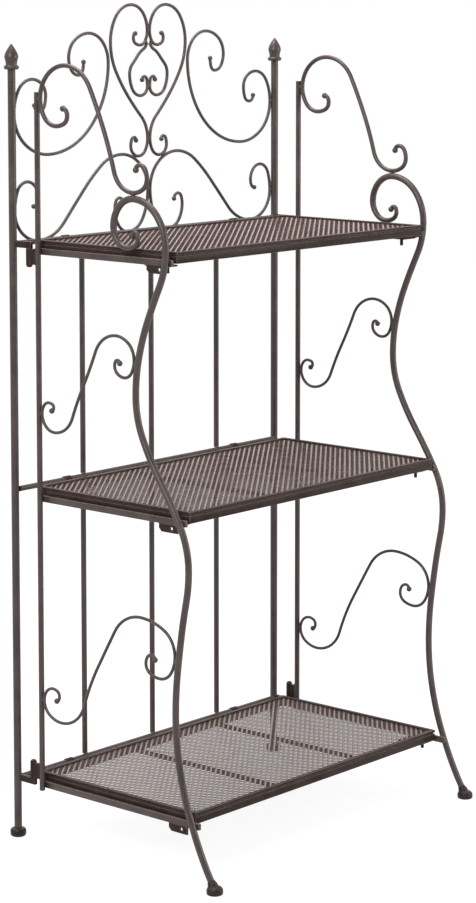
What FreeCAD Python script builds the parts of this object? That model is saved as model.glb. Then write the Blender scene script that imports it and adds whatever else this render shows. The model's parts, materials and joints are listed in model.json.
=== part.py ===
import FreeCAD, Part
import math
import os

# Three-tier wrought-iron bakers rack. Millimetres, +Z up, the front faces -Y.
# The origin is on the floor, midway between the posts and midway between front and back feet.

Vector = FreeCAD.Vector
Rotation = FreeCAD.Rotation

doc = FreeCAD.newDocument("bakers_rack")
sheet = doc.addObject("Spreadsheet::Sheet", "sizes")

driving_sizes = {
    # frame as a whole
    "post_spacing": 714,
    "foot_spread": 477,
    "weld_gap": 0.2,
    "cut_overrun": 5,
    # back posts, feet and finials
    "post_diameter": 14,
    "post_top": 1386,
    "foot_diameter": 29,
    "foot_height": 15,
    "foot_edge_radius": 5,
    "finial_height": 45,
    "finial_collar_diameter": 27,
    "finial_collar_height": 8,
    "finial_neck_diameter": 20,
    "finial_bulge_diameter": 25,
    "finial_bulge_height": 21,
    "finial_tip_diameter": 2,
    # back rails and bars
    "rail_diameter": 10,
    "rail_forward": 4,
    "top_rail_drop": 8,
    "middle_rail_drop": 8,
    "bottom_rail_drop": 14.6,
    "bar_diameter": 10,
    "bar_spacing": 184,
    # crest scrolls
    "crest_rod_diameter": 6,
    "crest_tip_diameter": 9,
    "heart_half_width": 101.5,
    "heart_height": 280,
    "lyre_side_gap": 50.5,
    "crest_scroll_base": 153,
    "crest_scroll_height": 215,
    "wave_height": 144,
    # side frames
    "upright_forward": 62,
    "upright_diameter": 10,
    "upright_top": 1348,
    "upright_bottom": 97,
    "leg_diameter": 12,
    "leg_curl_diameter": 7,
    "leg_tip_diameter": 11,
    "leg_height": 1173.5,
    "leg_foot_heel": 7,
    "top_scroll_diameter": 8,
    "top_scroll_tip_diameter": 11,
    "top_scroll_height": 212,
    "side_scroll_diameter": 5.6,
    "side_scroll_tip_diameter": 10,
    "middle_scroll_height": 185,
    "middle_scroll_base": 751,
    "lower_scroll_height": 222,
    "lower_scroll_base": 230,
    "side_rail_height": 11,
    "side_rail_width": 6,
    "side_rail_drop": 13.5,
    "side_rail_tail": 9,
    # latch brackets on the side rails
    "bracket_front": 17,
    "bracket_rear": 26,
    "bracket_reach": 36,
    "bracket_hang": 14,
    "bracket_plate": 3,
    "bracket_chamfer": 6,
    "bracket_eye_diameter": 6,
    "bracket_eye_inset": 14,
    "bracket_eye_drop": 6.5,
    "flange_length": 26,
    "peg_hole_diameter": 9.8,
    # hinges between the back posts and the side frames
    "hinge_forward": 41,
    "hinge_arm_width": 6,
    "hinge_arm_height": 12,
    "hinge_pin_diameter": 6,
    "hinge_pin_length": 30,
    "hinge_running_clearance": 0.05,
    "hinge_barrel_diameter": 12,
    "hinge_barrel_length": 28,
    "hinge_end_play": 0.3,
    # shelves
    "shelf_side_gap": 17,
    "shelf_setback": 39,
    "top_shelf_depth": 339,
    "middle_shelf_depth": 367,
    "bottom_shelf_depth": 379,
    "top_shelf_level": 1087,
    "middle_shelf_level": 646,
    "bottom_shelf_level": 125,
    "rim_height": 20,
    "rim_thickness": 5,
    "deck_drop": 3,
    "deck_thickness": 2.5,
    "mesh_long_pitch": 64,
    "mesh_short_pitch": 36,
    "mesh_strand": 7,
    "brace_width": 14,
    "brace_height": 4,
    "top_peg_setback": 36,
    "middle_peg_setback": 37,
    "bottom_peg_setback": 28,
    "top_peg_inset": 16,
    "middle_peg_inset": 3,
    "bottom_peg_inset": 3,
    "peg_diameter": 6,
    "peg_tail": 12,
    "peg_shoulder_diameter": 11.4,
    "peg_seat_gap": 0.3,
    "gusset_width": 46,
    "gusset_plate": 3,
    "loop_place": 230,
    "loop_length": 16,
    "loop_wall": 1.4,
    "loop_clearance": 0.3,
    "loop_strap": 3,
}

for row, (alias, number) in enumerate(driving_sizes.items(), start=1):
    sheet.set("A%d" % row, alias)
    sheet.set("B%d" % row, str(number))
    sheet.setAlias("B%d" % row, alias)
doc.recompute()


def size(alias):
    return float(sheet.get(alias))


# Places that several pieces share
gap = size("weld_gap")
side_plane = size("post_spacing") / 2
back_line = size("foot_spread") / 2
post_radius = size("post_diameter") / 2
rail_radius = size("rail_diameter") / 2
crest_radius = size("crest_rod_diameter") / 2
upright_radius = size("upright_diameter") / 2
leg_radius = size("leg_diameter") / 2
top_scroll_radius = size("top_scroll_diameter") / 2
side_scroll_radius = size("side_scroll_diameter") / 2
rail_line = back_line - size("rail_forward")
crest_line = rail_line + rail_radius + crest_radius + gap
upright_line = back_line - size("upright_forward")
shelf_width = size("post_spacing") - 2 * size("shelf_side_gap")
# The side rails lap the inner faces of the leg and the upright, so these two lie flush on the inside
rail_outer = side_plane - leg_radius - gap
rail_middle = rail_outer - size("side_rail_width") / 2
upright_plane = rail_outer + gap + upright_radius

levels = ("top", "middle", "bottom")
sides = (("left", -1), ("right", 1))


def shelf_top(level):
    return size(level + "_shelf_level")


def rail_level(level):
    return shelf_top(level) - size(level + "_rail_drop")


def side_rail_top(level):
    return shelf_top(level) - size("side_rail_drop")


def shelf_back():
    return back_line - size("shelf_setback")


def shelf_front(level):
    return shelf_back() - size(level + "_shelf_depth")


def peg_line(level):
    return shelf_front(level) + size(level + "_peg_setback")


pieces = []


def keep(feature, label):
    feature.Label = label
    pieces.append(feature)
    return feature


def bind(feature, expressions):
    for prop, expression in expressions.items():
        feature.setExpression(prop, expression)
    return feature


def place(feature, base, rotation=Rotation()):
    feature.Placement = FreeCAD.Placement(base, rotation)
    return feature


def box(name, expressions, base):
    return place(bind(doc.addObject("Part::Box", name), expressions), base)


def cylinder(name, radius, height, base, rotation=Rotation()):
    feature = doc.addObject("Part::Cylinder", name)
    return place(bind(feature, {"Radius": radius, "Height": height}), base, rotation)


def solid_feature(name, shape):
    feature = doc.addObject("Part::Feature", name)
    feature.Shape = shape
    return feature


def fuse(name, features):
    feature = doc.addObject("Part::MultiFuse", name)
    feature.Shapes = features
    return feature


def cut(name, base, tool):
    feature = doc.addObject("Part::Cut", name)
    feature.Base = base
    feature.Tool = tool
    return feature


def group(name, features):
    feature = doc.addObject("Part::Compound", name)
    feature.Links = features
    return feature


along_x = Rotation(Vector(0, 1, 0), 90)


# Scroll centre lines: points with a heading, joined by pairs of tangent arcs
def arc_edge(start, heading, end, lay):
    chord = end - start
    bend = heading.x * chord.y - heading.y * chord.x
    slope = math.atan2(-bend, heading.x * chord.x + heading.y * chord.y)
    if abs(slope) < 1e-6:
        return Part.LineSegment(lay(start), lay(end)).toShape()
    rise = math.tan(slope / 2) / 2
    middle = (start + end) / 2 + Vector(-chord.y, chord.x, 0) * rise
    return Part.Arc(lay(start), lay(middle), lay(end)).toShape()


def scroll_wire(points, lay):
    edges = []
    for (across, up, turn), (next_across, next_up, next_turn) in zip(points, points[1:]):
        start = Vector(across, up, 0)
        end = Vector(next_across, next_up, 0)
        leave = Vector(math.cos(math.radians(turn)), math.sin(math.radians(turn)), 0)
        arrive = Vector(math.cos(math.radians(next_turn)), math.sin(math.radians(next_turn)), 0)
        span = end - start
        together = span.dot(leave + arrive)
        spread = 2 * (1 - leave.dot(arrive))
        if spread < 1e-9:
            pull = span.dot(span) / (4 * span.dot(arrive))
        else:
            pull = (math.sqrt(together ** 2 + spread * span.dot(span)) - together) / spread
        joint = (start + end + (leave - arrive) * pull) / 2
        edges.append(arc_edge(start, leave, joint, lay))
        back_edge = arc_edge(end, arrive * -1, joint, lay)
        edges.append(back_edge.reversed())
    return Part.Wire(edges)


def spread_points(shares, left, width, base, height):
    return [(left + across * width, base + up * height, turn) for across, up, turn in shares]


def settle(wire_at, fixed, apart, low, high):
    # The value between low (clear) and high (crossing) at which the wire stands off by apart
    for step in range(30):
        middle = (low + high) / 2
        if wire_at(middle).distToShape(fixed)[0] > apart:
            low = middle
        else:
            high = middle
    return low


def section_ring(label, diameter, point, tangent):
    ring = doc.addObject("Part::Circle", label + "_section")
    bind(ring, {"Radius": "sizes.%s / 2" % diameter})
    return place(ring, point, Rotation(Vector(0, 0, 1), tangent))


def rod_along(label, wire, sections):
    rod = doc.addObject("Part::Sweep", label + "_rod")
    rod.Sections = sections
    spine = solid_feature(label + "_line", wire)
    rod.Spine = (spine, ["Edge%d" % (index + 1) for index in range(len(wire.Edges))])
    rod.Solid = True
    rod.Frenet = False
    return rod


def start_ring(label, wire, diameter):
    first = wire.Edges[0]
    return section_ring(label, diameter, first.firstVertex(True).Point, first.tangentAt(first.FirstParameter))


def tip_ball(label, diameter, point):
    ball = doc.addObject("Part::Sphere", label + "_tip")
    return place(bind(ball, {"Radius": "sizes.%s / 2" % diameter}), point)


def swept_rod(label, wire, diameter, tip_diameter, tips):
    ends = [wire.OrderedVertexes[0].Point, wire.OrderedVertexes[-1].Point]
    rod = rod_along(label, wire, [start_ring(label, wire, diameter)])
    balls = [tip_ball(label, tip_diameter, ends[index]) for index in tips]
    return keep(fuse(label, [rod] + balls), label)


# Outline shares of the scrolls: across, up, heading in degrees (0 outward or forward, 90 up)
heart_shares = [
    (0.33, 0.811, 0), (0.38, 0.78, -90), (0.205, 0.734, 180), (0, 0.83, 90), (0.44, 1, 0),
    (1, 0.757, -90), (0.518, 0.393, -130), (0, 0.114, -90), (0.253, 0, 0), (0.463, 0.069, 90),
    (0.37, 0.126, 180), (0.32, 0.105, -90)]
lyre_shares = [
    (0.02, 1, -70), (0.53, 0.77, -48), (1, 0.414, -90), (0.397, 0, 180), (0, 0.177, 90),
    (0.185, 0.362, 0), (0.3, 0.3, -90)]
crest_scroll_shares = [
    (0.268, 0.759, -90), (0.323, 0.65, 0), (0.4265, 0.796, 90), (0.213, 1, 180), (0, 0.747, -90),
    (0.646, 0, 0), (1, 0.353, 90), (0.816, 0.63, 180), (0.672, 0.492, -90), (0.741, 0.361, 0),
    (0.789, 0.413, 90)]
wave_shares = [
    (0.8645, 0.43, 180), (0.832, 0.54, 90), (0.911, 0.741, 0), (1, 0.384, -90), (0.83, 0, 180),
    (0.4864, 0.602, 133), (0.2086, 1, 180), (0, 0.5235, -90), (0.1547, 0, 0), (0.258, 0.301, 90),
    (0.223, 0.443, 180), (0.192, 0.3726, -90)]
top_scroll_shares = [
    (0.22, 0.649, 0), (0.26, 0.5915, -90), (0.151, 0.503, 180), (0, 0.72, 90), (0.238, 1, 0),
    (0.61, 0.472, -68), (0.873, 0, 0), (1, 0.1185, 90), (0.936, 0.2265, 180), (0.899, 0.185, -90)]
leg_shares = [
    (0.61, 0.9463, 90), (0.6237, 0.951, 0), (0.6373, 0.9425, -90), (0.587, 0.9276, 180),
    (0.5175, 0.958, 90), (0.6145, 1, 0), (0.7715, 0.929, -90), (0.6855, 0.8265, -113),
    (0.6235, 0.7125, -90), (0.738, 0.594, -55), (0.8775, 0.467, -90), (0.844, 0.375, -99),
    (0.8135, 0.2515, -90), (0.875, 0.11, -70)]
leg_curl_count = 4
leg_crown_count = 5
leg_foot_turn = -58
middle_scroll_shares = [
    (0.108, 0.205, 0), (0.13, 0.238, 90), (0.079, 0.28, 180), (0, 0.1676, -90), (0.137, 0, 0),
    (0.455, 0.481, 62), (0.808, 1, 0), (1, 0.789, -90), (0.894, 0.616, 180), (0.7945, 0.719, 90),
    (0.826, 0.773, 0), (0.849, 0.746, -90)]
lower_scroll_shares = [
    (0.1, 0.17, 0), (0.1205, 0.212, 90), (0.071, 0.264, 180), (0, 0.154, -90), (0.136, 0, 0),
    (0.424, 0.53, 60), (0.745, 1, 0), (1, 0.748, -90), (0.888, 0.55, 180), (0.786, 0.648, 90),
    (0.829, 0.724, 0), (0.854, 0.69, -90)]


# Back frame: posts, feet, finials
def finial_shape(base):
    collar = size("finial_collar_diameter") / 2
    neck = size("finial_neck_diameter") / 2
    bulge = size("finial_bulge_diameter") / 2
    lip = size("finial_collar_height")
    swell = size("finial_bulge_height")
    tip = size("finial_height")
    point = size("finial_tip_diameter") / 2
    # The collar's edge and the hollow of the neck are arcs, the bud's flank draws in to a point
    edge_share = 0.5
    hollow_share = 0.5
    swell_up_share = 0.38
    draw_across_share = 0.4
    draw_up_share = 0.74
    points = [Vector(0, 0, 0), Vector(neck, 0, 0), Vector(neck, 0, lip), Vector(bulge, 0, swell)]
    rim_middle = Vector(collar, 0, lip * edge_share)
    hollow_across = neck + (bulge - neck) * (1 - hollow_share) / 2
    hollow_middle = Vector(hollow_across, 0, lip + (swell - lip) * hollow_share)
    flank = Part.BezierCurve()
    flank.setPoles([points[3], Vector(bulge, 0, swell + (tip - swell) * swell_up_share),
                    Vector(bulge * draw_across_share, 0, swell + (tip - swell) * draw_up_share),
                    Vector(point, 0, tip)])
    top = Vector(0, 0, tip)
    edges = [
        Part.LineSegment(points[0], points[1]).toShape(),
        Part.Arc(points[1], rim_middle, points[2]).toShape(),
        Part.Arc(points[2], hollow_middle, points[3]).toShape(),
        flank.toShape(),
        Part.LineSegment(Vector(point, 0, tip), top).toShape(),
        Part.LineSegment(top, points[0]).toShape()]
    turned = Part.Face(Part.Wire(edges)).revolve(Vector(), Vector(0, 0, 1), 360)
    turned.translate(base)
    return turned


def rounded_foot(name, base):
    puck = cylinder(name + "_puck", "sizes.foot_diameter / 2", "sizes.foot_height", base)
    foot = doc.addObject("Part::Fillet", name)
    foot.Base = puck
    doc.recompute()
    radius = size("foot_edge_radius")
    rings = [index for index, edge in enumerate(puck.Shape.Edges, start=1) if edge.Closed]
    foot.Edges = [(index, radius, radius) for index in rings]
    return keep(foot, name)


for side, sign in sides:
    post_foot = Vector(sign * side_plane, back_line, size("foot_height"))
    post = cylinder("post_" + side, "sizes.post_diameter / 2",
                    "sizes.post_top - sizes.foot_height", post_foot)
    keep(post, "back_post_" + side)
    finial_seat = Vector(sign * side_plane, back_line, size("post_top"))
    keep(solid_feature("finial_" + side, finial_shape(finial_seat)), "back_finial_" + side)
    rounded_foot("back_foot_" + side, Vector(sign * side_plane, back_line, 0))

# Back rails between the posts, and the bars that stand between the rails
for level in levels:
    rail_start = Vector(-side_plane + post_radius + gap, rail_line, rail_level(level))
    length = "sizes.post_spacing - sizes.post_diameter - 2 * sizes.weld_gap"
    rail = cylinder("rail_" + level, "sizes.rail_diameter / 2", length, rail_start, along_x)
    keep(rail, "back_rail_" + level)

for bar_name, step in (("left", -1), ("centre", 0), ("right", 1)):
    lengths = []
    for upper, lower in (("top", "middle"), ("middle", "bottom")):
        bar_foot = Vector(step * size("bar_spacing"), back_line, rail_level(lower) + rail_radius + gap)
        upper_rail = "(sizes.%s_shelf_level - sizes.%s_rail_drop)" % (upper, upper)
        lower_rail = "(sizes.%s_shelf_level - sizes.%s_rail_drop)" % (lower, lower)
        bar_height = upper_rail + " - " + lower_rail + " - sizes.rail_diameter - 2 * sizes.weld_gap"
        lengths.append(cylinder("bar_" + bar_name, "sizes.bar_diameter / 2", bar_height, bar_foot))
    keep(group("bars_" + bar_name, lengths), "back_bar_" + bar_name)

# Crest: the waves lap the top rail and touch the posts, the hearts stand on the waves,
# the lyres hang in the hearts, and the scrolls fill in between the hearts and the posts.
post_reach = post_radius + crest_radius + gap
post_offset = crest_line - back_line
crest_edge = side_plane - math.sqrt(post_reach ** 2 - post_offset ** 2)
crest_centre = crest_radius + gap / 2
crest_apart = 2 * crest_radius + gap
wave_base = rail_level("top")


def crest_lay(sign):
    return lambda point: Vector(sign * point.x, crest_line, point.y)


def wave_wire(sign):
    width = crest_edge - crest_centre
    points = spread_points(wave_shares, crest_centre, width, wave_base, size("wave_height"))
    return scroll_wire(points, crest_lay(sign))


def heart_wire(sign, base):
    width = size("heart_half_width") - crest_centre
    points = spread_points(heart_shares, crest_centre, width, base, size("heart_height"))
    return scroll_wire(points, crest_lay(sign))


def lyre_wire(sign, foot, top):
    width = size("heart_half_width") - size("lyre_side_gap") - crest_centre
    points = spread_points(lyre_shares, crest_centre, width, foot, top - foot)
    return scroll_wire(points, crest_lay(sign))


def crest_scroll_wire(sign):
    left = size("heart_half_width") + crest_apart
    base = wave_base + size("crest_scroll_base")
    points = spread_points(crest_scroll_shares, left, crest_edge - left, base, size("crest_scroll_height"))
    return scroll_wire(points, crest_lay(sign))


wave_top = wave_base + size("wave_height")
right_wave = wave_wire(1)
heart_base = settle(lambda base: heart_wire(1, base), right_wave, crest_apart,
                    wave_top + crest_apart, wave_top - size("wave_height") / 2)
right_heart = heart_wire(1, heart_base)
# The lyre stands clear of the heart's flanks and rises until it meets the underside of the upper curl
lyre_foot_share = 0.4
lyre_low_share = 0.66
lyre_high_share = 0.775
lyre_foot = heart_base + lyre_foot_share * size("heart_height")
lyre_top = settle(lambda top: lyre_wire(1, lyre_foot, top), right_heart, crest_apart,
                  heart_base + lyre_low_share * size("heart_height"),
                  heart_base + lyre_high_share * size("heart_height"))

for side, sign in sides:
    crest_sizes = ("crest_rod_diameter", "crest_tip_diameter")
    swept_rod("crest_wave_" + side, wave_wire(sign), *crest_sizes, tips=(0, 1))
    swept_rod("crest_heart_" + side, heart_wire(sign, heart_base), *crest_sizes, tips=(0, 1))
    swept_rod("crest_lyre_" + side, lyre_wire(sign, lyre_foot, lyre_top), *crest_sizes, tips=(1,))
    swept_rod("crest_scroll_" + side, crest_scroll_wire(sign), *crest_sizes, tips=(0, 1))


# Side frames: all rods lie in one plane, measured forward from the back posts
def side_lay(sign):
    return lambda point: Vector(sign * side_plane, back_line - point.x, point.y)


def leg_points():
    points = spread_points(leg_shares, 0, size("foot_spread"), 0, size("leg_height"))
    lean = math.cos(math.radians(leg_foot_turn))
    ankle = size("foot_height") + leg_radius * lean + gap
    points.append((size("foot_spread") - size("leg_foot_heel"), ankle, leg_foot_turn))
    return points


def leg_wire(sign):
    return scroll_wire(leg_points(), side_lay(sign))


def leg_rod(side, sign):
    # The rod keeps its thickness down to the foot and is drawn out thinner in the curl at the top
    label = side + "_front_leg"
    curl = scroll_wire(leg_points()[:leg_curl_count + 1], side_lay(sign))
    shank = scroll_wire(leg_points()[leg_curl_count:], side_lay(sign))
    thick_ring = start_ring(label + "_shank", shank, "leg_diameter")
    thin_ring = start_ring(label + "_curl", curl, "leg_curl_diameter")
    drawn_ring = start_ring(label + "_drawn", shank, "leg_diameter")
    shank_rod = rod_along(label + "_shank", shank, [thick_ring])
    curl_rod = rod_along(label + "_curl", curl, [thin_ring, drawn_ring])
    ball = tip_ball(label, "leg_tip_diameter", curl.OrderedVertexes[0].Point)
    return keep(fuse(label, [shank_rod, curl_rod, ball]), label)


def upright_touch(rod_radius):
    apart = upright_radius + rod_radius + gap
    return size("upright_forward") + math.sqrt(apart ** 2 - (side_plane - upright_plane) ** 2)


def top_scroll_wire(sign):
    ring_across_share = leg_shares[leg_crown_count][0]
    touch_share = top_scroll_shares[6][0]
    left = upright_touch(top_scroll_radius)
    base = size("leg_height") + leg_radius + top_scroll_radius + gap
    reach = (ring_across_share * size("foot_spread") - left) / touch_share
    points = spread_points(top_scroll_shares, left, reach, base, size("top_scroll_height"))
    return scroll_wire(points, side_lay(sign))


scroll_left = upright_touch(side_scroll_radius)


def side_scroll_wire(sign, shares, reach, base, height):
    return scroll_wire(spread_points(shares, scroll_left, reach, base, height), side_lay(sign))


right_leg = leg_wire(1)
scroll_apart = leg_radius + side_scroll_radius + gap
least_reach = size("upright_forward")
most_reach = size("foot_spread") - scroll_left


def settled_reach(shares, base, height):
    return settle(lambda reach: side_scroll_wire(1, shares, reach, base, height), right_leg, scroll_apart,
                  least_reach, most_reach)


side_scrolls = {}
for name, shares in (("middle", middle_scroll_shares), ("lower", lower_scroll_shares)):
    base = size(name + "_scroll_base")
    height = size(name + "_scroll_height")
    side_scrolls[name] = (shares, settled_reach(shares, base, height), base, height)

rail_back = size("upright_forward") - upright_radius


def leg_forward(height):
    # How far forward the leg first stands at this height
    start = Vector(side_plane, back_line - rail_back, height)
    across = Part.LineSegment(start, start - Vector(0, size("foot_spread"), 0)).toShape()
    touches = right_leg.distToShape(across)[1]
    return min(back_line - pair[0].y for pair in touches)


def rail_front(level):
    return leg_forward(side_rail_top(level) - size("side_rail_height") / 2) + size("side_rail_tail")


rail_fronts = {level: rail_front(level) for level in levels}


def peg_across(level):
    return shelf_width / 2 - size(level + "_peg_inset")


def bracket_shape(sign, level):
    # A flange under the side rail for the shelf's peg; on the left side it is turned in from a hanging plate
    plate = size("bracket_plate")
    chamfer = size("bracket_chamfer")
    overrun = size("cut_overrun")
    top = side_rail_top(level) - size("side_rail_height") - gap
    back = peg_line(level) + size("bracket_rear")
    front = peg_line(level) - size("bracket_front")
    outer = rail_middle + plate / 2
    length = size("flange_length")
    reach = size("bracket_reach")
    flange_place = Vector(outer - reach, peg_line(level) - length / 2, top - plate)
    bracket = Part.makeBox(reach, length, plate, flange_place)
    peg_place = Vector(peg_across(level), peg_line(level), top - plate - overrun)
    hole = Part.makeCylinder(size("peg_hole_diameter") / 2, plate + 2 * overrun, peg_place)
    bracket = bracket.cut(hole)
    if sign > 0:
        return bracket
    bottom = top - size("bracket_hang")
    outline = [Vector(outer, back, top), Vector(outer, front, top), Vector(outer, front, bottom),
               Vector(outer, back - chamfer, bottom), Vector(outer, back, bottom + chamfer)]
    web = Part.Face(Part.makePolygon(outline + outline[:1])).extrude(Vector(-plate, 0, 0))
    eye_centre = Vector(outer + overrun, front + size("bracket_eye_inset"), top - size("bracket_eye_drop"))
    eye_radius = size("bracket_eye_diameter") / 2
    eye = Part.makeCylinder(eye_radius, plate + 2 * overrun, eye_centre, Vector(-1, 0, 0))
    return bracket.fuse(web.cut(eye)).removeSplitter().mirror(Vector(), Vector(1, 0, 0))


def hinge_pieces(side, sign, level, hang):
    # An arm with its pin on the post, and a barrel with its web on the side upright
    middle = rail_level(level)
    arm_half = size("hinge_arm_height") / 2
    pin_line = back_line - size("hinge_forward")
    arm_end = pin_line - size("hinge_barrel_diameter") / 2
    arm_place = Vector(sign * side_plane - size("hinge_arm_width") / 2, arm_end, middle - arm_half)
    arm = box("hinge_arm", {
        "Length": "sizes.hinge_arm_width",
        "Width": "sizes.hinge_forward + sizes.hinge_barrel_diameter / 2"
                 " - sizes.post_diameter / 2 - sizes.weld_gap",
        "Height": "sizes.hinge_arm_height"}, arm_place)
    pin_start = middle + hang * arm_half
    pin_foot = pin_start if hang > 0 else pin_start - size("hinge_pin_length")
    pin = cylinder("hinge_pin", "sizes.hinge_pin_diameter / 2", "sizes.hinge_pin_length",
                   Vector(sign * side_plane, pin_line, pin_foot))
    barrel_near = pin_start + hang * size("hinge_end_play")
    barrel_foot = barrel_near if hang > 0 else barrel_near - size("hinge_barrel_length")
    barrel_place = Vector(sign * side_plane, pin_line, barrel_foot)
    barrel = cylinder("hinge_barrel", "sizes.hinge_barrel_diameter / 2",
                      "sizes.hinge_barrel_length", barrel_place)
    barrel_far = barrel_near + hang * size("hinge_barrel_length")
    dome = doc.addObject("Part::Sphere", "hinge_dome")
    bind(dome, {"Radius": "sizes.hinge_barrel_diameter / 2"})
    place(dome, Vector(sign * side_plane, pin_line, barrel_far))
    web_place = Vector(sign * side_plane - size("hinge_arm_width") / 2,
                       upright_line + upright_radius + gap, barrel_foot)
    web = box("hinge_web", {
        "Length": "sizes.hinge_arm_width",
        "Width": "sizes.upright_forward - sizes.hinge_forward - sizes.upright_diameter / 2 - sizes.weld_gap",
        "Height": "sizes.hinge_barrel_length"}, web_place)
    bore_place = barrel_place - Vector(0, 0, size("hinge_barrel_diameter"))
    bore = cylinder("hinge_bore", "sizes.hinge_pin_diameter / 2 + sizes.hinge_running_clearance",
                    "sizes.hinge_barrel_length + 2 * sizes.hinge_barrel_diameter", bore_place)
    arm_and_pin = fuse("hinge_bracket", [arm, pin])
    return arm_and_pin, cut("hinge_leaf", fuse("hinge_leaf_body", [barrel, dome, web]), bore)


for side, sign in sides:
    upright_foot = Vector(sign * upright_plane, upright_line, size("upright_bottom"))
    upright = cylinder(side + "_upright", "sizes.upright_diameter / 2",
                       "sizes.upright_top - sizes.upright_bottom", upright_foot)
    keep(upright, side + "_side_upright")
    leg_rod(side, sign)
    foot_place = Vector(sign * side_plane, -back_line, 0)
    rounded_foot(side + "_front_foot", foot_place)
    swept_rod(side + "_top_scroll", top_scroll_wire(sign), "top_scroll_diameter", "top_scroll_tip_diameter",
              tips=(0, 1))
    for name, outline in side_scrolls.items():
        swept_rod(side + "_" + name + "_scroll", side_scroll_wire(sign, *outline),
                  "side_scroll_diameter", "side_scroll_tip_diameter", tips=(0, 1))
    for level in levels:
        rail_place = Vector(sign * rail_middle - size("side_rail_width") / 2, back_line - rail_fronts[level],
                            side_rail_top(level) - size("side_rail_height"))
        rail = box(side + "_rail_" + level, {
            "Length": "sizes.side_rail_width", "Height": "sizes.side_rail_height"}, rail_place)
        rail.Width = rail_fronts[level] - rail_back
        keep(rail, side + "_side_rail_" + level)
    brackets = [solid_feature(side + "_bracket_" + level, bracket_shape(sign, level)) for level in levels]
    keep(group(side + "_brackets", brackets), side + "_latch_brackets")
    upper_bracket, upper_leaf = hinge_pieces(side, sign, "top", -1)
    lower_bracket, lower_leaf = hinge_pieces(side, sign, "bottom", 1)
    keep(group(side + "_hinge_arms", [upper_bracket, lower_bracket]), side + "_hinge_pins")
    keep(group(side + "_hinge_leaves", [upper_leaf, lower_leaf]), side + "_hinge_barrels")


# Shelves: a rim of flat bars, an expanded-metal deck on two braces, latch pegs and hinge loops
def deck_shape(level):
    rim = size("rim_thickness")
    width = shelf_width - 2 * (rim + gap)
    depth = size(level + "_shelf_depth") - 2 * (rim + gap)
    top = shelf_top(level) - size("deck_drop")
    thickness = size("deck_thickness")
    left = -width / 2
    front = shelf_front(level) + rim + gap
    long_pitch = size("mesh_long_pitch")
    short_pitch = size("mesh_short_pitch")
    strand = size("mesh_strand")
    slant = math.atan2(short_pitch, long_pitch)
    half_long = long_pitch / 2 - strand / 2 / math.sin(slant)
    half_short = short_pitch / 2 - strand / 2 / math.cos(slant)
    columns = int(width / long_pitch)
    rows = int(2 * depth / short_pitch)
    first_column = -long_pitch * columns / 2
    first_row = front + depth / 2 - short_pitch * rows / 4
    holes = []
    for row in range(rows + 1):
        for column in range(columns + 1):
            across = first_column + long_pitch * (column + (row % 2) / 2)
            along = first_row + short_pitch * row / 2
            clear_across = abs(across) + half_long + strand / 2 < width / 2
            clear_along = abs(along - front - depth / 2) + half_short + strand / 2 < depth / 2
            if clear_across and clear_along:
                corners = [Vector(across - half_long, along, top), Vector(across, along - half_short, top),
                           Vector(across + half_long, along, top), Vector(across, along + half_short, top)]
                holes.append(Part.makePolygon(corners + corners[:1]))
    sheet_edge = Part.makePlane(width, depth, Vector(left, front, top)).OuterWire
    face = Part.makeFace([sheet_edge] + holes, "Part::FaceMakerBullseye")
    return face.extrude(Vector(0, 0, -thickness)), len(holes)


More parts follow.
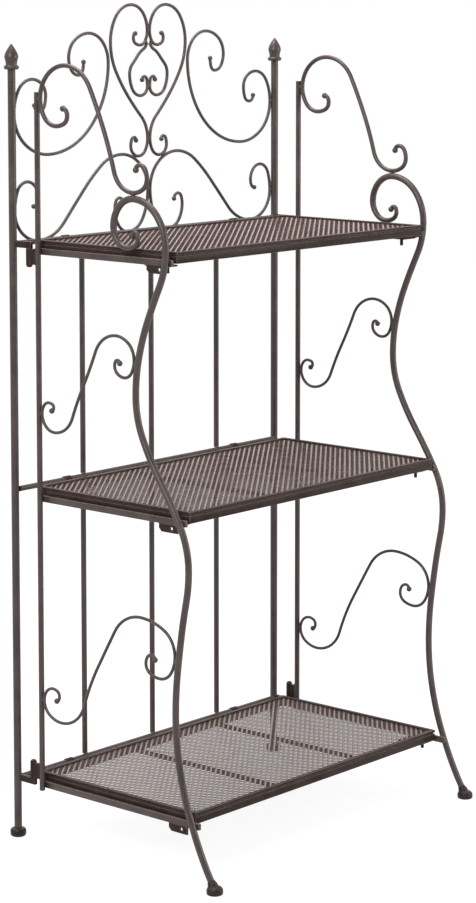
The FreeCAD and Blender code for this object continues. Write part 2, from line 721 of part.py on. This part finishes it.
def shelf_pieces(level):
    depth = "sizes.%s_shelf_depth" % level
    half = shelf_width / 2
    rim = size("rim_thickness")
    top = shelf_top(level)
    bottom = top - size("rim_height")
    front = shelf_front(level)
    bars = []
    long_bar = {"Length": "sizes.post_spacing - 2 * sizes.shelf_side_gap",
                "Width": "sizes.rim_thickness", "Height": "sizes.rim_height"}
    for along in (front, shelf_back() - rim):
        bars.append(box("rim_bar", long_bar, Vector(-half, along, bottom)))
    end_bar = {"Length": "sizes.rim_thickness", "Width": depth + " - 2 * sizes.rim_thickness",
               "Height": "sizes.rim_height"}
    for across in (-half, half - rim):
        bars.append(box("rim_end", end_bar, Vector(across, front + rim, bottom)))
    keep(group(level + "_rim_bars", bars), level + "_shelf_rim")

    deck, gaps = deck_shape(level)
    keep(solid_feature(level + "_deck_sheet", deck), level + "_shelf_deck")

    deck_under = top - size("deck_drop") - size("deck_thickness")
    braces = []
    third_share = 1 / 3
    for sign in (-1, 1):
        across = sign * shelf_width * third_share / 2 - size("brace_width") / 2
        brace_place = Vector(across, front + rim + gap, deck_under - size("brace_height"))
        braces.append(box("brace", {
            "Length": "sizes.brace_width", "Width": depth + " - 2 * (sizes.rim_thickness + sizes.weld_gap)",
            "Height": "sizes.brace_height"}, brace_place))
    keep(group(level + "_brace_pair", braces), level + "_shelf_braces")

    flange_top = side_rail_top(level) - size("side_rail_height") - gap
    shoulder_foot = flange_top + size("peg_seat_gap")
    pin_foot = flange_top - size("bracket_plate") - size("peg_tail")
    pegs = []
    for side, sign in sides:
        across = sign * peg_across(level)
        corner = half - rim - gap
        gusset_left = corner - size("gusset_width") if sign > 0 else -corner
        gusset = box("gusset", {
            "Length": "sizes.gusset_width", "Width": "sizes.gusset_width", "Height": "sizes.gusset_plate"},
            Vector(gusset_left, front + rim + gap, bottom - gap))
        shoulder = cylinder("peg_shoulder", "sizes.peg_shoulder_diameter / 2",
                            "sizes.side_rail_drop + sizes.side_rail_height"
                            " - sizes.rim_height - sizes.peg_seat_gap",
                            Vector(across, peg_line(level), shoulder_foot))
        pin = cylinder("peg_pin", "sizes.peg_diameter / 2",
                       "sizes.bracket_plate + sizes.peg_tail + sizes.peg_seat_gap",
                       Vector(across, peg_line(level), pin_foot))
        pegs.append(fuse("latch_peg", [gusset, shoulder, pin]))
    keep(group(level + "_peg_pair", pegs), level + "_shelf_pegs")

    loops = []
    axis_level = rail_level(level)
    loop_radius = rail_radius + size("loop_clearance") + size("loop_wall")
    sleeve_radius = "sizes.rail_diameter / 2 + sizes.loop_clearance + sizes.loop_wall"
    for sign in (-1, 1):
        left = sign * size("loop_place") - size("loop_length") / 2
        sleeve = cylinder("loop_sleeve", sleeve_radius, "sizes.loop_length",
                          Vector(left, rail_line, axis_level), along_x)
        strap = box("loop_strap", {
            "Length": "sizes.loop_length",
            "Width": "sizes.shelf_setback - sizes.rail_forward - sizes.weld_gap",
            "Height": "sizes.loop_strap"},
            Vector(left, shelf_back() + gap, max(axis_level - loop_radius, bottom)))
        bore = cylinder("loop_bore", "sizes.rail_diameter / 2 + sizes.loop_clearance",
                        "sizes.loop_length + 2 * sizes.cut_overrun",
                        Vector(left - size("cut_overrun"), rail_line, axis_level), along_x)
        loops.append(cut("hinge_loop", fuse("loop_body", [sleeve, strap]), bore))
    keep(group(level + "_loop_pair", loops), level + "_shelf_hinge_loops")
    return gaps


for level in levels:
    print("%s deck: %d gaps" % (level, shelf_pieces(level)))

doc.recompute()

# Nothing is written unless every feature built and every piece is a valid solid
failed = [feature.Name for feature in doc.Objects if {"Invalid", "Error"} & set(feature.State)]
if failed:
    raise RuntimeError("features that failed: " + ", ".join(failed))
for piece in pieces:
    if piece.Shape.isNull() or not piece.Shape.isValid() or not piece.Shape.Solids:
        raise RuntimeError("not a valid solid: " + piece.Label)

os.makedirs("parts", exist_ok=True)
for piece in pieces:
    piece.Shape.exportStep("parts/%s.step" % piece.Label)
print("%d pieces, %d solids" % (len(pieces), sum(len(piece.Shape.Solids) for piece in pieces)))
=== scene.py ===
import json
import math

import bmesh
import bpy
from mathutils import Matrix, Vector, noise
from mathutils.bvhtree import BVHTree


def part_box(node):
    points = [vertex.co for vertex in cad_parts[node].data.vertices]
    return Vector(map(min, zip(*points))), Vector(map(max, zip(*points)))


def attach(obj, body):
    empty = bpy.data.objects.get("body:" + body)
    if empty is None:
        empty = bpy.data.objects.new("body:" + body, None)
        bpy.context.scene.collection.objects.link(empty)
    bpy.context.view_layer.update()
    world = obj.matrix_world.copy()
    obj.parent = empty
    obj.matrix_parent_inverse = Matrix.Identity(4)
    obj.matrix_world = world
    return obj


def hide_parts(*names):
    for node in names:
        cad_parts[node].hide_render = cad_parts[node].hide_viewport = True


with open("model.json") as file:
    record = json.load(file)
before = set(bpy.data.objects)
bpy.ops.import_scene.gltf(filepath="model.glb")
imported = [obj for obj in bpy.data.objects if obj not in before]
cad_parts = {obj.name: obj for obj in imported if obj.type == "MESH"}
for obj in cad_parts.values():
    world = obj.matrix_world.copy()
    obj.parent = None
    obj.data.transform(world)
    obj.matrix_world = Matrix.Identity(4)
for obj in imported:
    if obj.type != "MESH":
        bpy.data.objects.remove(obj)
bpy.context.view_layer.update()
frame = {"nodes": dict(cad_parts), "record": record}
nodes = frame["nodes"]
bodies = frame["record"]["behaviour"]["bodies"]
bodyOf = {node: body for body, members in bodies.items() for node in members}
slotOf = {row["node"]: row["material_slot"] for row in frame["record"]["subparts"]}
millimetre = 0.001
print("frame loaded:", len(nodes), "nodes")

scene = bpy.context.scene
scene.view_settings.view_transform = "Standard"


def linearColour(hexText):
    channels = []
    for start in (1, 3, 5):
        share = int(hexText[start:start + 2], 16) / 255
        channels.append(share / 12.92 if share <= 0.04045 else ((share + 0.055) / 1.055) ** 2.4)
    return (*channels, 1.0)


def addNode(tree, kind, inputs=None, **settings):
    node = tree.nodes.new(kind)
    for name, value in settings.items():
        setattr(node, name, value)
    for name, value in (inputs or {}).items():
        if isinstance(value, bpy.types.NodeSocket):
            tree.links.new(value, node.inputs[name])
        else:
            node.inputs[name].default_value = value
    return node


def newMaterial(name):
    material = bpy.data.materials.new(name)
    material.use_nodes = True
    material.node_tree.nodes.clear()
    return material, material.node_tree


# Powder coat on steel: baked paint, satin, with a slight orange peel and cloudy film thickness.
# It gives the eye a dark bronze-brown that is lighter and duller where the film is thin, lighter on edges
# from wear and a painted highlight, and paler on upward faces from painted top light.
frameCoat = {
    "name": "bronzePowderCoat",
    "thick": "#372d2b",
    "thin": "#4e4340",
    # edge colour: wear, and a painted highlight along the edges
    "rubbed": "#6e625c",
    "cloudMm": 38,
    "peelMm": 3.0,      # real orange peel is near 1 mm, drawn coarser so that it shows
    "peelDepthMm": 0.05,
    "roughness": (0.3, 0.44),
    "edgeMm": 0.8,
    "edgeShare": 0.3,
    "topRub": 0.12,     # painted light: upward faces are drawn paler, as if lit from above
    "topColour": "#957c78",
    "gloss": 0.5,
}
# mesh: strong painted top light on the upward faces of the strands
deckCoat = dict(frameCoat, name="meshPowderCoat", thick="#514340", thin="#685954", edgeMm=0.3,
                roughness=(0.2, 0.32), topRub=0.9, topColour="#8a7571")
# side rails: a copy of the frame coat with more painted highlight on their top faces
barTopLitCoat = dict(frameCoat, name="barPowderCoat", topRub=0.45)
# painted shade: a darker copy of the frame coat for shelf bars and fittings, with a painted highlight on
# their edges
rimShadedCoat = dict(frameCoat, name="rimPowderCoat", thick="#2a1f1d", thin="#3c2f2c", rubbed="#a3958f",
               topRub=0.1, gloss=0.1, edgeMm=1.7, edgeShare=0.8)
footCoat = dict(frameCoat, name="footPowderCoat", thick="#211a18", thin="#2f2724", gloss=0.25)

# What all finishes share: where film, edge wear with its painted highlight, and painted top light begin
# and where they are full
coatShading = {
    "film": (0.3, 0.72),        # cloud value
    "edge": (0.98, 0.8),        # agreement of the rounded and the plain normal
    "top": (0.6, 0.95),         # upward part of the normal, for the painted top light
    "satin": (0.3, 0.7),        # cloud value
    "cloudDetail": 4.0,
    "cloudRoughness": 0.55,
    "peelDetail": 2.0,
    "peelStrength": 0.35,
    "ior": 1.46,
    "edgeSamples": 4,
}


def powderCoat(look):
    material, tree = newMaterial(look["name"])
    place = addNode(tree, "ShaderNodeTexCoord").outputs["Object"]
    cloud = addNode(tree, "ShaderNodeTexNoise", {
        "Vector": place, "Scale": 1 / (look["cloudMm"] * millimetre),
        "Detail": coatShading["cloudDetail"], "Roughness": coatShading["cloudRoughness"]})
    film = addNode(tree, "ShaderNodeValToRGB", {"Fac": cloud.outputs["Fac"]})
    for stop, position, shade in zip(film.color_ramp.elements, coatShading["film"], ("thick", "thin")):
        stop.position = position
        stop.color = linearColour(look[shade])
    # edges: the rounded normal leaves the face normal where two faces meet; there the coat takes a
    # lighter colour, partly wear and partly a painted highlight
    rounded = addNode(tree, "ShaderNodeBevel", {"Radius": look["edgeMm"] * millimetre},
                      samples=coatShading["edgeSamples"])
    facing = addNode(tree, "ShaderNodeNewGeometry")
    match = addNode(tree, "ShaderNodeVectorMath", {
        0: rounded.outputs["Normal"], 1: facing.outputs["Normal"]}, operation="DOT_PRODUCT")
    edge = addNode(tree, "ShaderNodeMapRange", {
        "Value": match.outputs["Value"],
        "From Min": coatShading["edge"][0], "From Max": coatShading["edge"][1],
        "To Min": 0.0, "To Max": look["edgeShare"]})
    edgeWornAndHighlit = addNode(tree, "ShaderNodeMix", {
        "Factor": edge.outputs["Result"], "A": film.outputs["Color"], "B": linearColour(look["rubbed"])},
        data_type="RGBA")
    # painted light: faces that point up are mixed toward a paler colour, standing in for light from above
    normal = addNode(tree, "ShaderNodeTexCoord").outputs["Normal"]
    upward = addNode(tree, "ShaderNodeSeparateXYZ", {"Vector": normal})
    topLightShare = addNode(tree, "ShaderNodeMapRange", {
        "Value": upward.outputs["Z"],
        "From Min": coatShading["top"][0], "From Max": coatShading["top"][1],
        "To Min": 0.0, "To Max": look["topRub"]})
    rubbed = addNode(tree, "ShaderNodeMix", {
        "Factor": topLightShare.outputs["Result"], "A": edgeWornAndHighlit.outputs["Result"],
        "B": linearColour(look["topColour"])}, data_type="RGBA")
    satin = addNode(tree, "ShaderNodeMapRange", {
        "Value": cloud.outputs["Fac"],
        "From Min": coatShading["satin"][0], "From Max": coatShading["satin"][1],
        "To Min": look["roughness"][0], "To Max": look["roughness"][1]})
    peel = addNode(tree, "ShaderNodeTexNoise", {
        "Vector": place, "Scale": 1 / (look["peelMm"] * millimetre), "Detail": coatShading["peelDetail"]})
    bump = addNode(tree, "ShaderNodeBump", {
        "Height": peel.outputs["Fac"], "Strength": coatShading["peelStrength"],
        "Distance": look["peelDepthMm"] * millimetre})
    shader = addNode(tree, "ShaderNodeBsdfPrincipled", {
        "Base Color": rubbed.outputs["Result"], "Roughness": satin.outputs["Result"], "Metallic": 0.0,
        "IOR": coatShading["ior"], "Specular IOR Level": look["gloss"], "Normal": bump.outputs["Normal"]})
    addNode(tree, "ShaderNodeOutputMaterial", {"Surface": shader.outputs["BSDF"]})
    return material


coats = {
    "frame_coat": powderCoat(frameCoat),
    "deck_coat": powderCoat(deckCoat),
    "foot_coat": powderCoat(footCoat),
}
barTopLitMaterial = powderCoat(barTopLitCoat)
rimShadedMaterial = powderCoat(rimShadedCoat)     # painted shade: the same powder coat darkened for the shelf bars and fittings, with a painted highlight along their edges
for nodeName, piece in nodes.items():
    piece.data.materials.clear()
    piece.data.materials.append(coats[slotOf[nodeName]])
print("coats mixed")


def addPiece(name, mesh, body, slot, replaced=()):
    piece = bpy.data.objects.new(name, mesh)
    scene.collection.objects.link(piece)
    mesh.materials.append(coats[slot])
    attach(piece, body)
    if replaced:
        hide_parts(*replaced)
    return piece


# Expanded metal: one slit and stretched sheet, so each strand zigzags and meets its neighbours at bonds
expandedMetal = {
    "longPitchMm": 14.7,
    "shortPitchMm": 11.8,
    "strandMm": 3.6,
    "sheetMm": 1.7,
    "bondMm": 2.6,      # flat run where two strands meet
    "lapShare": 0.3,    # share of the strand that lies beside its neighbour at a bond
    "tilt": 0.18,       # stretching rolls each strand, its front edge higher than its rear edge
    "liftMm": 0.2,      # the bond behind a diamond stands above the one in front
}


def expandedDeck(level):
    node = level + "_shelf_deck"
    low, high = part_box(node)
    halfLong = expandedMetal["longPitchMm"] * millimetre / 2
    halfShort = expandedMetal["shortPitchMm"] * millimetre / 2
    strand = expandedMetal["strandMm"] * millimetre / 2
    sheet = expandedMetal["sheetMm"] * millimetre
    lift = expandedMetal["liftMm"] * millimetre
    tilt = expandedMetal["tilt"]
    flat = expandedMetal["bondMm"] * millimetre / 2
    reach = (halfShort - expandedMetal["lapShare"] * 2 * strand) / 2
    columns = int((high.x - low.x) / halfLong)
    rows = int((high.y - low.y - 2 * reach - 2 * strand) / halfShort)
    startX = (low.x + high.x) / 2 - columns * halfLong / 2
    startY = (low.y + high.y) / 2 - rows * halfShort / 2
    lean = math.atan2(2 * reach, halfLong - 2 * flat) / 2
    mitre = Vector((math.tan(lean), 1)) * strand
    build = bmesh.new()
    for row in range(rows + 1):
        rings = []
        for column in range(columns + 1):
            side = 1 if (row + column) % 2 == 0 else -1
            top = high.z - tilt * strand - lift / 2 + side * lift / 2
            centre = Vector((startX + column * halfLong, startY + row * halfShort + side * reach))
            for end in (-1, 1):
                x = centre.x + end * flat
                across = Vector((mitre.x * end * side, mitre.y))
                if column == 0 and end < 0:
                    x = low.x
                    across.x = 0
                if column == columns and end > 0:
                    x = high.x
                    across.x = 0
                rise = tilt * strand
                rings.append([
                    build.verts.new((x - across.x, centre.y - across.y, top + rise - sheet)),
                    build.verts.new((x + across.x, centre.y + across.y, top - rise - sheet)),
                    build.verts.new((x + across.x, centre.y + across.y, top - rise)),
                    build.verts.new((x - across.x, centre.y - across.y, top + rise))])
        for first, second in zip(rings, rings[1:]):
            for corner in range(4):
                after = (corner + 1) % 4
                build.faces.new((first[corner], first[after], second[after], second[corner]))
        build.faces.new(rings[0])
        build.faces.new(reversed(rings[-1]))
    bmesh.ops.recalc_face_normals(build, faces=build.faces)
    mesh = bpy.data.meshes.new(level + "ExpandedDeck")
    build.to_mesh(mesh)
    build.free()
    addPiece(level + "ExpandedDeck", mesh, level + "_shelf", "deck_coat", [node])


for level in ("top", "middle", "bottom"):
    expandedDeck(level)
print("decks expanded")

# Shelf rims: angle steel, with the upright leg outside and a lip over the edge of the deck.
# A seam runs along the outside where the lip was folded over.
angleSteel = {
    "wallMm": 5,
    "lipMm": 7,
    "lipDepthMm": 2.6,
    "seamTopMm": 5,
    "seamMm": 2.4,
    "seamDepthMm": 2.4,
}


def angleRim(level):
    node = level + "_shelf_rim"
    low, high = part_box(node)
    wall = angleSteel["wallMm"] * millimetre
    lip = angleSteel["lipMm"] * millimetre
    under = high.z - angleSteel["lipDepthMm"] * millimetre
    seamTop = high.z - angleSteel["seamTopMm"] * millimetre
    seamFoot = seamTop - angleSteel["seamMm"] * millimetre
    seam = angleSteel["seamDepthMm"] * millimetre
    profile = ((0, low.z), (0, seamFoot), (seam, seamFoot), (seam, seamTop), (0, seamTop), (0, high.z),
               (lip, high.z), (lip, under), (wall, under), (wall, low.z))
    build = bmesh.new()
    rings = []
    corners = ((low.x, low.y, 1, 1), (high.x, low.y, -1, 1),
               (high.x, high.y, -1, -1), (low.x, high.y, 1, -1))
    for x, y, inX, inY in corners:
        rings.append([build.verts.new((x + inX * inward, y + inY * inward, z)) for inward, z in profile])
    for first, second in zip(rings, rings[1:] + rings[:1]):
        for corner in range(len(profile)):
            after = (corner + 1) % len(profile)
            build.faces.new((first[corner], first[after], second[after], second[corner]))
    bmesh.ops.recalc_face_normals(build, faces=build.faces)
    finishBars(build, level + "AngleRim", node)


# Flat bars and plates: sawn or sheared steel, with corners eased before coating
easedBars = {
    "cornerMm": 0.7,
    "segments": 2,
    "sharpDegrees": 35,     # edges sharper than this are eased
    "creaseDegrees": 40,    # edges sharper than this stay crisp in the shading
    "joinMm": 0.01,
    "flatDegrees": 1,
}
flatEndings = ("_braces", "_pegs", "_hinge_loops", "_rail_top", "_rail_middle", "_rail_bottom",
               "_latch_brackets", "_hinge_pins", "_hinge_barrels")


def easedPiece(node):
    build = bmesh.new()
    build.from_mesh(nodes[node].data)
    bmesh.ops.remove_doubles(build, verts=build.verts, dist=easedBars["joinMm"] * millimetre)
    bmesh.ops.dissolve_limit(build, angle_limit=math.radians(easedBars["flatDegrees"]),
                             verts=build.verts, edges=build.edges)
    finishBars(build, node + "Eased", node)


def finishBars(build, name, node):
    sharp = [edge for edge in build.edges if len(edge.link_faces) == 2
             and edge.calc_face_angle() > math.radians(easedBars["sharpDegrees"])]
    bmesh.ops.bevel(build, geom=sharp, offset=easedBars["cornerMm"] * millimetre,
                    segments=easedBars["segments"], profile=0.5, affect="EDGES", clamp_overlap=True)
    for face in build.faces:
        face.smooth = True
    mesh = bpy.data.meshes.new(name)
    build.to_mesh(mesh)
    build.free()
    mesh.set_sharp_from_angle(angle=math.radians(easedBars["creaseDegrees"]))
    piece = addPiece(name, mesh, bodyOf[node], slotOf[node], [node])
    # side rails take the copy with painted top highlight, the other flat bars and fittings the darker
    # copy with painted shade
    piece.data.materials[0] = barTopLitMaterial if "_side_rail_" in node else rimShadedMaterial


for level in ("top", "middle", "bottom"):
    angleRim(level)
for nodeName in sorted(nodes):
    isBackRail = nodeName.startswith("back_rail")
    if nodeName.endswith(flatEndings) and not isBackRail:
        easedPiece(nodeName)
print("flat bars eased")

# Front feet: a round cap whose neck is moulded round the slanting end of the leg
frontFoot = {
    "edgeMm": 3,
    "domeFrom": 0.5,        # share of the cap's height where its side turns into the dome
    "domeFlat": 0.3,        # share of the radius that is flat at the top
    "roundingDegrees": 15,  # step along the rounded parts of the outline
    "turnSteps": 48,
    "neckMm": 7.1,
    "neckRootMm": 9,
    "neckAboveMm": 4,       # along the leg, from its end upward
    "neckBelowMm": 9,       # along the leg, down into the cap
    "legTurnDegrees": 58,   # slope of the leg's end below the horizontal
    "legHeelMm": 7,         # the leg's end lies this far behind the cap's middle
    "legRadiusMm": 6,
    "voxelMm": 0.7,
    "smoothing": 8,
}


def turnedSolid(build, profile, centre, axis):
    turn = axis.to_track_quat("Z", "Y").to_matrix()
    steps = frontFoot["turnSteps"]
    rings = []
    for radius, along in profile:
        ring = []
        for step in range(steps):
            angle = 2 * math.pi * step / steps
            offset = Vector((radius * math.cos(angle), radius * math.sin(angle), along))
            ring.append(build.verts.new(centre + turn @ offset))
        rings.append(ring)
    for lower, upper in zip(rings, rings[1:]):
        for step in range(steps):
            after = (step + 1) % steps
            build.faces.new((lower[step], lower[after], upper[after], upper[step]))
    build.faces.new(reversed(rings[0]))
    build.faces.new(rings[-1])


def mouldedFoot(node):
    low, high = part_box(node)
    middle = (low + high) / 2
    radius = (high.x - low.x) / 2
    edge = frontFoot["edgeMm"] * millimetre
    angles = [math.radians(degrees) for degrees in range(0, 91, frontFoot["roundingDegrees"])]
    rounding = [(math.cos(angle), math.sin(angle)) for angle in angles]
    under = [(radius - edge + edge * across, low.z + edge - edge * rise)
             for across, rise in reversed(rounding)]
    flat = frontFoot["domeFlat"]
    domeFoot = low.z + frontFoot["domeFrom"] * (high.z - low.z)
    domeTop = [(flat * radius + (1 - flat) * radius * across, domeFoot + (high.z - domeFoot) * rise)
               for across, rise in rounding]
    build = bmesh.new()
    turnedSolid(build, under + domeTop, Vector((middle.x, middle.y, 0)), Vector((0, 0, 1)))
    slope = math.radians(frontFoot["legTurnDegrees"])
    up = Vector((0, math.cos(slope), math.sin(slope)))
    legEnd = Vector((middle.x, middle.y + frontFoot["legHeelMm"] * millimetre,
                     high.z + frontFoot["legRadiusMm"] * millimetre * math.cos(slope)))
    neck = frontFoot["neckMm"] * millimetre
    root = frontFoot["neckRootMm"] * millimetre
    above = frontFoot["neckAboveMm"] * millimetre
    below = frontFoot["neckBelowMm"] * millimetre
    lip = (root - neck) / 2
    outline = [(root, -below), (root, -below / 3), (neck, above / 3),
               (neck, above - lip), (neck - lip, above)]
    turnedSolid(build, outline, legEnd, up)
    rough = bpy.data.meshes.new(node + "Rough")
    build.to_mesh(rough)
    build.free()
    shape = bpy.data.objects.new(node + "Rough", rough)
    scene.collection.objects.link(shape)
    remesh = shape.modifiers.new("remesh", "REMESH")
    remesh.mode = "VOXEL"
    remesh.voxel_size = frontFoot["voxelMm"] * millimetre
    soften = shape.modifiers.new("soften", "SMOOTH")
    soften.iterations = frontFoot["smoothing"]
    softened = shape.evaluated_get(bpy.context.evaluated_depsgraph_get())
    mesh = bpy.data.meshes.new_from_object(softened)
    bpy.data.objects.remove(shape)
    mesh.name = node + "Moulded"
    for vertex in mesh.vertices:
        vertex.co.z = max(vertex.co.z, low.z)
    for face in mesh.polygons:
        face.use_smooth = True
    addPiece(node + "Moulded", mesh, bodyOf[node], slotOf[node], [node])


for side in ("left", "right"):
    mouldedFoot(side + "_front_foot")
print("front feet moulded")

# Weld beads: a lumpy fillet of weld metal wherever two pieces of one body meet
weldBead = {
    "nearMm": 0.7,
    "mergeMm": 22,
    "radiusMm": 3.8,
    "flatShare": 0.62,
    "lumpMm": 0.6,
    "lumpEveryMm": 4.5,
    "without": ("foot", "finial", "shelf"),     # pressed on, or welded out of sight
}


def beadSpots():
    trees = {}
    corners = {}
    for name, piece in nodes.items():
        points = [vertex.co.copy() for vertex in piece.data.vertices]
        faces = [tuple(face.vertices) for face in piece.data.polygons]
        trees[name] = BVHTree.FromPolygons(points, faces)
        corners[name] = points
    spots = []
    near = weldBead["nearMm"] * millimetre
    for body, members in bodies.items():
        for index, first in enumerate(sorted(members)):
            for second in sorted(members)[index + 1:]:
                if any(word in first + second for word in weldBead["without"]):
                    continue
                lowA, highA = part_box(first)
                lowB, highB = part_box(second)
                if any(lowA[axis] > highB[axis] + near or lowB[axis] > highA[axis] + near
                       for axis in range(3)):
                    continue
                touches = []
                for one, other in ((first, second), (second, first)):
                    for point in corners[one]:
                        found, normal, face, distance = trees[other].find_nearest(point, near)
                        if found is not None:
                            touches.append((distance, (point + found) / 2, normal))
                kept = []
                for distance, point, normal in sorted(touches, key=lambda touch: touch[0]):
                    apart = weldBead["mergeMm"] * millimetre
                    if all((point - other).length > apart for other, _ in kept):
                        kept.append((point, normal))
                spots.extend((body, point, normal) for point, normal in kept)
    return spots


def addBeads():
    for body in bodies:
        build = bmesh.new()
        count = 0
        for spotBody, point, normal in weldSpots:
            if spotBody != body:
                continue
            turn = normal.to_track_quat("Z", "Y").to_matrix().to_4x4()
            made = bmesh.ops.create_icosphere(build, subdivisions=2, radius=1.0)
            for vertex in made["verts"]:
                radius = weldBead["radiusMm"] * millimetre
                shaped = Vector((vertex.co.x, vertex.co.y, vertex.co.z * weldBead["flatShare"])) * radius
                placed = point + turn @ shaped
                lump = noise.noise(placed / (weldBead["lumpEveryMm"] * millimetre))
                vertex.co = placed + (turn @ vertex.co) * lump * weldBead["lumpMm"] * millimetre
            count += 1
        if count == 0:
            build.free()
            continue
        for face in build.faces:
            face.smooth = True
        mesh = bpy.data.meshes.new(body + "Welds")
        build.to_mesh(mesh)
        build.free()
        addPiece(body + "Welds", mesh, body, "frame_coat")
        print("weld beads on", body, count)


weldSpots = beadSpots()
addBeads()

# Camera at the photograph's place
cameraView = {
    "place": (-3.6114, -3.1370, 1.5342),
    "yaw": 0.8522,
    "pitch": 0.1075,
    "lensMm": 105.7,
    "shiftY": -0.2,
}
cameraData = bpy.data.cameras.new("photoCamera")
cameraData.lens = cameraView["lensMm"]
cameraData.sensor_width = 36
cameraData.shift_y = cameraView["shiftY"]
cameraData.clip_end = 50
camera = bpy.data.objects.new("photoCamera", cameraData)
scene.collection.objects.link(camera)
camera.location = cameraView["place"]
camera.rotation_euler = (math.pi / 2 - cameraView["pitch"], 0, -cameraView["yaw"])
scene.camera = camera

# White paper floor and backdrop, with soft daylight from the left and from above
studio = {
    "floorColour": "#8f8e8d",
    "floorFibre": "#929190",
    "fibreScale": 400.0,
    "floorHalf": 14,
    "floorSeen": "#80807f",     # the camera sees the paper lit from within, so its own shade is held back
    "floorGlow": 0.86,
    "skyLight": 0.68,
    "frontRoom": 0.4,           # the room behind the camera is dimmer than the backdrop
    "roomTurn": (-0.6, 0.25),   # forward part of the view where the room turns into the backdrop
    "aim": (0, 0, 0.75),
    "lamps": (
        # name, place, width in metres, watts
        ("keyWindow", (-4.6, -1.3, 3.5), 1.5, 135),
        ("fillCard", (2.0, -3.2, 1.7), 2.0, 75),
        ("topCard", (-0.2, 0.5, 3.4), 1.6, 70),
    ),
}


def paperFloor():
    material, tree = newMaterial("whitePaper")
    place = addNode(tree, "ShaderNodeTexCoord").outputs["Object"]
    fibre = addNode(tree, "ShaderNodeTexNoise", {
        "Vector": place, "Scale": studio["fibreScale"], "Detail": 2.0})
    tint = addNode(tree, "ShaderNodeMix", {
        "Factor": fibre.outputs["Fac"], "A": linearColour(studio["floorColour"]),
        "B": linearColour(studio["floorFibre"])}, data_type="RGBA")
    path = addNode(tree, "ShaderNodeLightPath")
    shade = addNode(tree, "ShaderNodeMix", {
        "Factor": path.outputs["Is Camera Ray"], "A": tint.outputs["Result"],
        "B": linearColour(studio["floorSeen"])}, data_type="RGBA")
    matte = addNode(tree, "ShaderNodeBsdfDiffuse", {"Color": shade.outputs["Result"]})
    seen = addNode(tree, "ShaderNodeMath", {
        0: path.outputs["Is Camera Ray"], 1: path.outputs["Is Glossy Ray"]}, operation="MAXIMUM")
    glowLevel = addNode(tree, "ShaderNodeMath", {
        0: seen.outputs[0], 1: studio["floorGlow"]}, operation="MULTIPLY")
    glow = addNode(tree, "ShaderNodeEmission", {"Strength": glowLevel.outputs[0]})
    both = addNode(tree, "ShaderNodeAddShader", {0: matte.outputs[0], 1: glow.outputs[0]})
    addNode(tree, "ShaderNodeOutputMaterial", {"Surface": both.outputs[0]})
    mesh = bpy.data.meshes.new("paperFloor")
    half = studio["floorHalf"]
    corners = [(-half, -half, 0), (half, -half, 0), (half, half, 0), (-half, half, 0)]
    mesh.from_pydata(corners, [], [(0, 1, 2, 3)])
    mesh.materials.append(material)
    floor = bpy.data.objects.new("paperFloor", mesh)
    scene.collection.objects.link(floor)


def addLamp(name, place, aim, width, watts):
    data = bpy.data.lights.new(name, "AREA")
    data.energy = watts
    data.size = width
    lamp = bpy.data.objects.new(name, data)
    scene.collection.objects.link(lamp)
    lamp.location = place
    lamp.rotation_euler = (Vector(aim) - Vector(place)).to_track_quat("-Z", "Y").to_euler()


def whiteWorld():
    world = bpy.data.worlds.new("whiteStudio")
    scene.world = world
    world.use_nodes = True
    tree = world.node_tree
    tree.nodes.clear()
    path = addNode(tree, "ShaderNodeLightPath")
    heading = addNode(tree, "ShaderNodeTexCoord").outputs["Generated"]
    way = addNode(tree, "ShaderNodeSeparateXYZ", {"Vector": heading})
    room = addNode(tree, "ShaderNodeMapRange", {
        "Value": way.outputs["Y"],
        "From Min": studio["roomTurn"][0], "From Max": studio["roomTurn"][1],
        "To Min": studio["frontRoom"], "To Max": 1.0}, interpolation_type="SMOOTHSTEP")
    mirrored = addNode(tree, "ShaderNodeMix", {
        "Factor": path.outputs["Is Glossy Ray"], "A": studio["skyLight"],
        "B": room.outputs["Result"]}, data_type="FLOAT")
    level = addNode(tree, "ShaderNodeMix", {
        "Factor": path.outputs["Is Camera Ray"], "A": mirrored.outputs["Result"],
        "B": 1.0}, data_type="FLOAT")
    sky = addNode(tree, "ShaderNodeBackground", {
        "Color": (1, 1, 1, 1), "Strength": level.outputs["Result"]})
    addNode(tree, "ShaderNodeOutputWorld", {"Surface": sky.outputs[0]})


paperFloor()
whiteWorld()
for lampName, lampPlace, lampWidth, lampWatts in studio["lamps"]:
    addLamp(lampName, lampPlace, studio["aim"], lampWidth, lampWatts)
print("studio lit")
